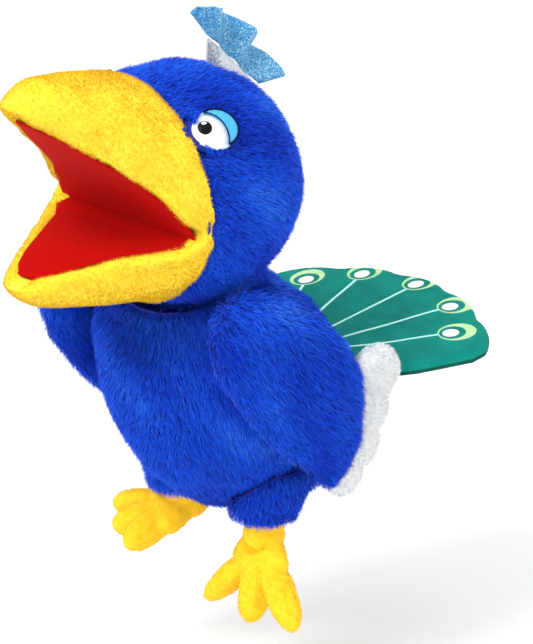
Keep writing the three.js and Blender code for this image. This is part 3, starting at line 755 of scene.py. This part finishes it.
BEAK_HALVES = {
    "upper": (UPPER_LINE, UPPER_WIDTHS, 1),
    "lower": (LOWER_LINE, LOWER_WIDTHS, -1),
}
CORNER_POSTS = [(at(side * 53, 0, 0), at(side * 70.5, 0, 0), 5.0) for _, side in SIDES]
BEAK_SPLIT = Vector((0, 0.42, 1)).normalized()
BEAK_BACK_Y = 7.5
TIP_SHORTER = 2.5


def puff_lips(obj, height):
    """Swells the rim round the mouth into a soft roll."""
    co, out = coordinates(obj.data), normals(obj.data)
    local = relative(co)
    roll = np.zeros(len(co))
    for line, widths, _ in BEAK_HALVES.values():
        near = np.clip(1 - np.abs(local[:, 2] - read_curve(line, local[:, 1])) / 9, 0, 1)
        beyond = np.abs(local[:, 0]) - read_curve(widths, local[:, 1])
        roll = np.maximum(roll, near * np.clip(beyond / 4, 0, 1))
    roll *= smoothstep((1 - local[:, 1]) / 5)
    co += out * (height * MM * roll)[:, None]
    move_points(obj.data, co)


def reach_back(obj):
    """Draws the back edge of the beak under the edge of the head's fur."""
    co = coordinates(obj.data)
    y = relative(co)[:, 1]
    level = np.abs(relative(co)[:, 2])
    share = 1 - 0.85 * smoothstep((level - 12) / 40)
    co[:, 1] += (BEAK_BACK_Y - SEAM_Y) * MM * smoothstep((y + 9) / (SEAM_Y + 9)) * share
    move_points(obj.data, co)


def draw_tips_in(obj):
    """Shortens the beak's tips by the length of the pile that will cover them."""
    co = coordinates(obj.data)
    y = relative(co)[:, 1]
    co[:, 1] += TIP_SHORTER * MM * smoothstep((-55 - y) / 40)
    move_points(obj.data, co)


def beak_lie(points):
    local = relative(points)
    return np.stack([0 * local[:, 0], -1 + 0 * local[:, 0], -0.15 * np.sign(local[:, 2])], 1)


def half_beak(whole, name, side):
    """The part of the beak's cover on one side of the plane through the mouth's corners."""
    form = bmesh.new()
    form.from_mesh(whole.data)
    geometry = form.verts[:] + form.edges[:] + form.faces[:]
    bmesh.ops.bisect_plane(form, geom=geometry, plane_co=FOLD, plane_no=BEAK_SPLIT * side, clear_inner=True)
    mesh = bpy.data.meshes.new(name)
    form.to_mesh(mesh)
    form.free()
    return show(name, mesh, [YELLOW_BASE])


def build_beak():
    layers = ("beak_skin", "beak_filling", "mouth_board")
    nodes = {half: [f"{half}_{layer}" for layer in layers] for half in BEAK_HALVES}
    whole = smooth_skin(
        "beak_cover", nodes["upper"] + nodes["lower"], [YELLOW_BASE], 2.0, 9, 1.4, 0.5, 30, 33, CORNER_POSTS
    )
    reach_back(whole)
    puff_lips(whole, 2.4)
    draw_tips_in(whole)
    for half, (line, widths, side) in BEAK_HALVES.items():
        skin = half_beak(whole, f"{half}_beak_cover", side)
        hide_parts(*nodes[half])

        def outside(points, out):
            local = relative(points)
            inner = np.abs(local[:, 0]) < read_curve(widths, local[:, 1]) - 1
            depth = side * (local[:, 2] - read_curve(line, local[:, 1]))
            facing_mouth = inner & (depth < 9) & (side * out[:, 2] < 0.3)
            return (~facing_mouth & (local[:, 1] < BEAK_BACK_Y - 0.5)).astype(float)

        fuzz = pile(f"{half}_beak_pile", skin, beak_lie, YELLOW_TONES, 2.8, 2.3, 0.42, 0.5, outside, 35 + side,
                    joints=1, pull=0.2)
        for piece in (skin, *fuzz):
            if half == "upper":
                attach(piece, "head")
            else:
                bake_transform(piece)
    bpy.data.objects.remove(whole)


FELT_TUCK = 1.2
FELT_CORNER = 5.5
FELT_CORNER_Y = (-22, 14)
FELT_SWELL = 2.2
FELT_THICK = 1.2


def felt_sheet(name, line, widths, up, rows=70, columns=36):
    """One half of the mouth lining: a felt sheet from the fold to the beak's tip."""
    ys = np.array([p[0] for p in line], float)
    zs = np.array([p[1] for p in line], float)
    s = np.concatenate([[0], np.cumsum(np.hypot(np.diff(ys), np.diff(zs)))])
    length = s[-1] * 0.985
    points, faces = [], []
    for i in range(rows + 1):
        place = length * i / rows
        y, z = np.interp(place, s, ys), np.interp(place, s, zs)
        corner = float(smoothstep((y - FELT_CORNER_Y[0]) / FELT_CORNER_Y[1]))
        half = float(read_curve(widths, y)) + FELT_TUCK + FELT_CORNER * corner
        swell = FELT_SWELL * math.sin(math.pi * min(1, i / rows + 0.02)) ** 0.7
        for k in range(columns + 1):
            t = 2 * k / columns - 1
            lift = -up * (swell * (1 - t * t) - 0.4)
            points.append(at(half * t, y, z + lift))
    for i in range(rows):
        for k in range(columns):
            a = i * (columns + 1) + k
            quad = (a, a + 1, a + columns + 2, a + columns + 1)
            faces.append(quad if up < 0 else tuple(reversed(quad)))
    obj = show(name, mesh_from(name, points, faces), [RED_FELT])
    thick = obj.modifiers.new("felt", "SOLIDIFY")
    thick.thickness = FELT_THICK * MM
    thick.offset = -1
    baked(obj)
    return obj


def build_mouth():
    upper = felt_sheet("upper_felt", UPPER_LINE, UPPER_WIDTHS, 1)
    lower = felt_sheet("lower_felt", LOWER_LINE, LOWER_WIDTHS, -1)
    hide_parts("upper_mouth_lining", "mouth_fold")
    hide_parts("lower_mouth_lining")
    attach(upper, "head")
    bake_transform(lower)


# ---- Flat stuffed forms -------------------------------------------------------------------------
def closed_ring(outline, spacing):
    """Points at most spacing apart along a closed outline."""
    ring = []
    for i, start in enumerate(outline):
        start, end = np.array(start, float), np.array(outline[(i + 1) % len(outline)], float)
        steps = max(1, math.ceil(np.linalg.norm(end - start) / spacing))
        ring.extend(start + (end - start) * k / steps for k in range(steps))
    return np.array(ring)


def inside_ring(points, ring):
    crossings = np.zeros(len(points), int)
    for (x1, y1), (x2, y2) in zip(ring, np.roll(ring, -1, 0)):
        if y1 != y2:
            spans = (y1 > points[:, 1]) != (y2 > points[:, 1])
            crossings += spans & (points[:, 0] < (x2 - x1) * (points[:, 1] - y1) / (y2 - y1) + x1)
    return crossings % 2 == 1


def ring_distance(points, ring):
    best = np.full(len(points), 1e9)
    for a, b in zip(ring, np.roll(ring, -1, 0)):
        along = b - a
        t = np.clip(((points - a) @ along) / max(along @ along, 1e-12), 0, 1)
        best = np.minimum(best, np.linalg.norm(points - a - t[:, None] * along, axis=1))
    return best


def pillow(name, outline, thick, spacing, to_row, materials, edge=4.5, print_loops=(), print_of=None,
           relief=None,
           under_kind=0):
    """A flat stuffed shape sewn round its outline. Outline and loops are in millimetres, to_row(u, v, height) gives a
    point of the row frame, and print_of(points) the material of each place on the upper side."""
    ring = closed_ring(outline, spacing)
    low, high = ring.min(0), ring.max(0)
    rows = np.arange(low[1], high[1], spacing * 0.87)
    columns = np.arange(low[0], high[0], spacing)
    grid = np.array([(u + (j % 2) * spacing / 2, v) for j, v in enumerate(rows) for u in columns])
    grid = grid[inside_ring(grid, ring) & (ring_distance(grid, ring) > spacing * 0.4)]
    near_edge = [ring_inset for depth in (0.12, 0.35) for ring_inset in inset_ring(ring, edge * depth)]
    grid = np.concatenate([grid[ring_distance(grid, ring) > edge * 0.6], np.array(near_edge)])
    points, edges = [tuple(p) for p in ring], [(i, (i + 1) % len(ring)) for i in range(len(ring))]
    for loop in print_loops:
        first = len(points)
        points.extend(tuple(p) for p in loop)
        edges.extend((first + i, first + (i + 1) % len(loop)) for i in range(len(loop)))
        grid = grid[ring_distance(grid, np.array(loop)) > spacing * 0.3]
    points.extend(tuple(p) for p in grid)
    found = delaunay_2d_cdt([Vector(p) for p in points], edges, [], 0, 1e-5)
    flat = np.array([tuple(v) for v in found[0]])
    faces = np.array(found[2])
    faces = faces[inside_ring(flat[faces].mean(1), ring)]
    depth = ring_distance(flat, ring)
    height = thick / 2 * np.sqrt(np.clip(1 - (1 - np.clip(depth / edge, 0, 1)) ** 2, 0, 1))
    on_edge = depth < 1e-3
    height[on_edge] = 0
    if relief is not None:
        height = height + relief(flat) * np.clip(depth / edge, 0, 1)
    count = len(flat)
    both = [to_row(u, v, h) for (u, v), h in zip(flat, height)]
    both += [to_row(u, v, -h) for (u, v), h in zip(flat, height)]
    under = np.where(on_edge, np.arange(count), np.arange(count) + count)
    cells = [tuple(f) for f in faces] + [tuple(under[f][::-1]) for f in faces]
    mesh = bpy.data.meshes.new(name)
    mesh.from_pydata([tuple(p) for p in both], [], [tuple(int(i) for i in f) for f in cells])
    kinds = print_of(flat[faces].mean(1)) if print_of else np.zeros(len(faces), int)
    kinds = np.concatenate([kinds, np.full(len(faces), under_kind)])
    obj = show(name, mesh, materials)
    mesh.polygons.foreach_set("material_index", kinds.astype(np.int32))
    mesh.polygons.foreach_set("use_smooth", [True] * len(cells))
    form = bmesh.new()
    form.from_mesh(mesh)
    bmesh.ops.delete(form, geom=[v for v in form.verts if not v.link_faces], context="VERTS")
    bmesh.ops.recalc_face_normals(form, faces=form.faces[:])
    form.to_mesh(mesh)
    form.free()
    return obj


def inset_ring(ring, depth):
    """Points of a closed outline moved inward by depth, where there is room."""
    along = np.roll(ring, -1, 0) - np.roll(ring, 1, 0)
    across = np.stack([-along[:, 1], along[:, 0]], 1)
    across /= np.linalg.norm(across, axis=1)[:, None]
    for sign in (1, -1):
        moved = ring + across * sign * depth
        if inside_ring(moved, ring).mean() > 0.5:
            break
    keep = inside_ring(moved, ring) & (ring_distance(moved, ring) > depth * 0.8)
    return moved[keep]


# ---- Crest --------------------------------------------------------------------------------------
FIN = [(65, 70), (65.5, 104), (76, 95), (92, 79), (107, 62.5), (98, 46)]
RIBBON_SEWN = [(66, 105), (76, 95.5), (91, 80), (107, 64)]
RIBBON_FREE = [(54.5, 122), (57, 126), (64.5, 126.5), (73, 123), (83, 115.5), (92.5, 110), (99, 104.5), (101.5, 99.5),
               (99, 94.5), (107, 89.5), (116, 82), (121, 74), (124, 66)]


def along_path(path, share):
    """Point at a share of the length of a path in the plane."""
    path = np.array(path, float)
    s = np.concatenate([[0], np.cumsum(np.linalg.norm(np.diff(path, axis=0), axis=1))])
    return np.array([np.interp(share * s[-1], s, path[:, k]) for k in range(2)])


def ribbon_point(u, v):
    """u runs along the ribbon, v from its sewn edge to its free edge."""
    y, z = along_path(RIBBON_SEWN, u) * (1 - v) + along_path(RIBBON_FREE, u) * v
    wave = math.sin(2 * math.pi * (2.5 * u - 0.12)) + 0.15 * math.sin(2 * math.pi * (6.0 * u + 0.3))
    spread = 2.0 + 6.5 * v ** 0.7
    pinch = 1.0 * math.sin(2 * math.pi * (4.0 * u + 0.2)) * v * (1 - v)
    return at(wave * spread, y + pinch, z + pinch)


def build_crest():
    # The front strip of the fin's +x side, ahead of u 71.5, takes the darker silver as painted shade.
    shade = lambda flat: (flat[:, 0] < 71.5).astype(int)
    pleats = lambda flat: 0.9 * np.sin((flat[:, 0] - 60) * 0.75) * np.exp(-((flat[:, 0] - 70) / 7.0) ** 2)
    fin = pillow("crest_fin_cloth", FIN, 13, 1.6, lambda u, v, h: at(h, u, v), [SILVER, SILVER_PAINTED_SHADE], 12.0,
                 print_of=shade, relief=pleats)
    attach(fin, "head")
    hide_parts("crest_fin")
    rows, columns = 130, 22
    points = [ribbon_point(i / rows, k / columns) for i in range(rows + 1) for k in range(columns + 1)]
    faces = []
    for i in range(rows):
        for k in range(columns):
            a = i * (columns + 1) + k
            faces.append((a, a + 1, a + columns + 2, a + columns + 1))
    ribbon = show("crest_ribbon_cloth", mesh_from("crest_ribbon_cloth", points, faces), [RIBBON])
    thick = ribbon.modifiers.new("thickness", "SOLIDIFY")
    thick.thickness = 0.35 * MM
    thick.offset = 0
    baked(ribbon)
    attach(ribbon, "head")
    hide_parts("crest_ribbon")


# ---- Tail ---------------------------------------------------------------------------------------
FAN_CENTRE = (120.4, -126)
FAN_RISE = math.radians(8)
FAN_STEP = 18.4
FAN_LOBES = 5
FAN_REACH = 138
FAN_NOTCH = 4
FAN_SIDE = [(96, 84), (88, 66), (80, 50), (70, 36), (58, 24)]
FAN_DROOP = 0.00045
SPOTS = [(-66.6, 93), (-40.6, 117.6), (0, 126.4), (40.6, 117.6), (66.6, 93)]
TAIL_TEAL = cloth(
    "tail_teal", rgb(6, 124, 112), rgb(12, 140, 126), 60, 0.2, 0.0005, 0.9, Specular_IOR_Level=0.15
)
# Darker teal for the whole underside of the fan: painted shade on the side turned away from the light.
TAIL_PAINTED_SHADE = cloth(
    "tail_painted_shade", rgb(0, 74, 62), rgb(2, 92, 78), 60, 0.2, 0.0005, 0.9, Specular_IOR_Level=0.15
)
TAIL_LINE = cloth("tail_line", rgb(172, 246, 240), rgb(205, 255, 246), 500, 0.3, 0.0004)
TAIL_LIME = cloth("tail_lime", rgb(170, 222, 160), rgb(198, 236, 172), 500, 0.3, 0.0004)
TAIL_DARK = cloth("tail_dark", rgb(4, 104, 96), rgb(12, 124, 112), 500, 0.3, 0.0004)
TAIL_WHITE = cloth("tail_white", rgb(236, 238, 250), rgb(250, 250, 255), 500, 0.3, 0.0004)


def fan_point(u, v, height):
    height -= FAN_DROOP * u * u
    lift, run = math.sin(FAN_RISE), math.cos(FAN_RISE)
    return at(u, FAN_CENTRE[0] + v * run - height * lift, FAN_CENTRE[1] + v * lift + height * run)


def fan_outline():
    half = FAN_LOBES * FAN_STEP / 2
    points = [(-u, v) for u, v in reversed(FAN_SIDE)]
    for lobe in range(FAN_LOBES):
        for i in range(9):
            part = (i + 0.5) / 9
            angle = math.radians(-half + FAN_STEP * (lobe + part))
            reach = FAN_REACH - FAN_NOTCH + FAN_NOTCH * math.sin(math.pi * part) ** 0.7
            points.append((reach * math.sin(angle), reach * math.cos(angle)))
    return points + list(FAN_SIDE)


def spot_axes(number):
    centre = np.array(SPOTS[number], float)
    outward = centre / np.linalg.norm(centre)
    return centre, outward, np.array([outward[1], -outward[0]])


# Rings of an eyespot: (shift outward, radius outward, radius across), in millimetres.
SPOT_RINGS = {
    "lime": (4.0, 12.4, 11.2), "teal": (1.2, 8.6, 8.4), "dark": (0, 6.2, 5.9), "white": (0, 5.4, 5.0)
}


def spot_loop(number, ring, count=40):
    centre, outward, across = spot_axes(number)
    shift, long, wide = SPOT_RINGS[ring]
    turns = [2 * math.pi * i / count for i in range(count)]
    return [centre + outward * (shift + long * math.cos(t)) + across * wide * math.sin(t) for t in turns]


def vein_loop(number, half=1.0):
    """A thin line from the fan's root to its eyespot, with a slight bow."""
    centre, outward, across = spot_axes(number)
    top = centre + outward * (SPOT_RINGS["dark"][0] - SPOT_RINGS["dark"][1] - 0.1)
    root = centre * 25.5 / centre[1]
    bow = across * 2.2 * (number - 2)
    middle = (top + root) / 2 + bow
    path = []
    for i in range(13):
        t = i / 12
        path.append(root * (1 - t) ** 2 + middle * 2 * t * (1 - t) + top * t * t)
    path = np.array(path)
    along = np.gradient(path, axis=0)
    side = np.stack([-along[:, 1], along[:, 0]], 1)
    side /= np.linalg.norm(side, axis=1)[:, None]
    return list(path + side * half) + list((path - side * half)[::-1])


def tail_print(points):
    kinds = np.zeros(len(points), int)
    for number in range(FAN_LOBES):
        kinds[inside_ring(points, np.array(vein_loop(number)))] = 1
        for ring, kind in (("lime", 2), ("teal", 0), ("dark", 3), ("white", 4)):
            kinds[inside_ring(points, np.array(spot_loop(number, ring)))] = kind
    return kinds


def build_tail():
    loops = [vein_loop(n) for n in range(FAN_LOBES)]
    loops += [spot_loop(n, ring) for n in range(FAN_LOBES) for ring in SPOT_RINGS]
    # The last material, the darker teal, goes on the whole underside (under_kind 5) as painted shade.
    materials = [TAIL_TEAL, TAIL_LINE, TAIL_LIME, TAIL_DARK, TAIL_WHITE, TAIL_PAINTED_SHADE]
    uneven = lambda flat: 0.35 * np.sin(flat[:, 0] * 0.12) * np.cos(flat[:, 1] * 0.1)
    tail = pillow(
        "tail_cloth_fan", fan_outline(), 9, 2.6, fan_point, materials, 4.6, loops, tail_print, uneven, 5
    )
    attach(tail, "tail")
    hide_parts("tail_fan")


# ---- Legs and feet ------------------------------------------------------------------------------
def joint_place(name):
    return Vector(next(j["pos_m"] for j in frame["joints"] if j["name"] == name))


def build_leg(prefix, seed):
    nodes = [f"{prefix}_leg", f"{prefix}_foot"]
    foot = cover(f"{prefix}_leg_cover", nodes, [FOOT_CLOTH], 1.3, 4, -0.5, 0.2, 18, seed)
    ankle = joint_place(f"{prefix}_foot_bend")
    low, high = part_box(f"{prefix}_foot")
    down = ((low + high) / 2 - ankle).normalized()

    def lie(points):
        return np.tile(np.array(down), (len(points), 1))

    nap = pile(
        f"{prefix}_leg_pile", foot, lie, FOOT_TONES, 1.6, 1.7, 0.4, 0.55, everywhere, seed, joints=1, pull=0.2
    )
    for piece in (foot, *nap):
        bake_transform(piece)


# ---- Stage --------------------------------------------------------------------------------------
VIEW_TURN = math.radians(47)
VIEW_RISE = math.radians(20)
VIEW_WIDTH = 0.3322
VIEW_DISTANCE = 12.0
VIEW_SHIFT = (0.0846, -0.0645)
FLOOR_DROP = 0.045


def build_stage():
    low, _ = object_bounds()
    plane = mesh_from("floor", [(-6, -6, 0), (6, -6, 0), (6, 6, 0), (-6, 6, 0)], [(0, 1, 2, 3)])
    paint = cloth("floor_paint", rgb(250, 250, 250), rgb(253, 253, 253), 3, 0.05, 0.001)
    floor = show("floor", plane, [paint])
    floor.location.z = low[2] - FLOOR_DROP
    world = bpy.data.worlds.new("studio")
    world.use_nodes = True
    world.node_tree.nodes["Background"].inputs["Color"].default_value = (1, 1, 1, 1)
    world.node_tree.nodes["Background"].inputs["Strength"].default_value = 1.0
    bpy.context.scene.world = world
    bpy.context.scene.view_settings.view_transform = "Standard"
    for name, place, size, power in (
        ("key", (0.1, -1.5, 1.7), 1.0, 34),
        ("fill", (1.9, 0.3, 0.9), 1.4, 6),
    ):
        light = bpy.data.lights.new(name, "AREA")
        light.size = size
        light.energy = power
        lamp = bpy.data.objects.new(name, light)
        lamp.location = place
        lamp.rotation_euler = (Vector((0, -0.08, 0.15)) - Vector(place)).to_track_quat("-Z", "Y").to_euler()
        bpy.context.scene.collection.objects.link(lamp)
    right = Vector((math.cos(VIEW_TURN), math.sin(VIEW_TURN), 0))
    toward = Vector((math.sin(VIEW_TURN) * math.cos(VIEW_RISE), -math.cos(VIEW_TURN) * math.cos(VIEW_RISE),
                     math.sin(VIEW_RISE)))
    up = toward.cross(right)
    target = FOLD + right * VIEW_SHIFT[0] + up * VIEW_SHIFT[1]
    lens = bpy.data.cameras.new("camera")
    lens.sensor_fit = "HORIZONTAL"
    lens.sensor_width = 36
    lens.lens = 36 * VIEW_DISTANCE / VIEW_WIDTH
    camera = bpy.data.objects.new("camera", lens)
    camera.location = target + toward * VIEW_DISTANCE
    camera.rotation_euler = toward.to_track_quat("Z", "Y").to_euler()
    bpy.context.scene.collection.objects.link(camera)
    bpy.context.scene.camera = camera


def finish_inner_nodes():
    inner = {"neck_lining": BLUE_BASE, "body_lining": LINING, "finger_pocket": LINING, "thumb_pocket": LINING}
    for node, material in inner.items():
        mesh = frame["nodes"][node].data
        mesh.materials.clear()
        mesh.materials.append(material)


build_head()
build_body()
for side_name, side_sign in SIDES:
    build_wing(side_name, side_sign)
    build_eye(side_name, side_sign)
build_beak()
build_mouth()
build_crest()
build_tail()
build_leg("left", 51)
build_leg("right", 52)
finish_inner_nodes()
build_stage()
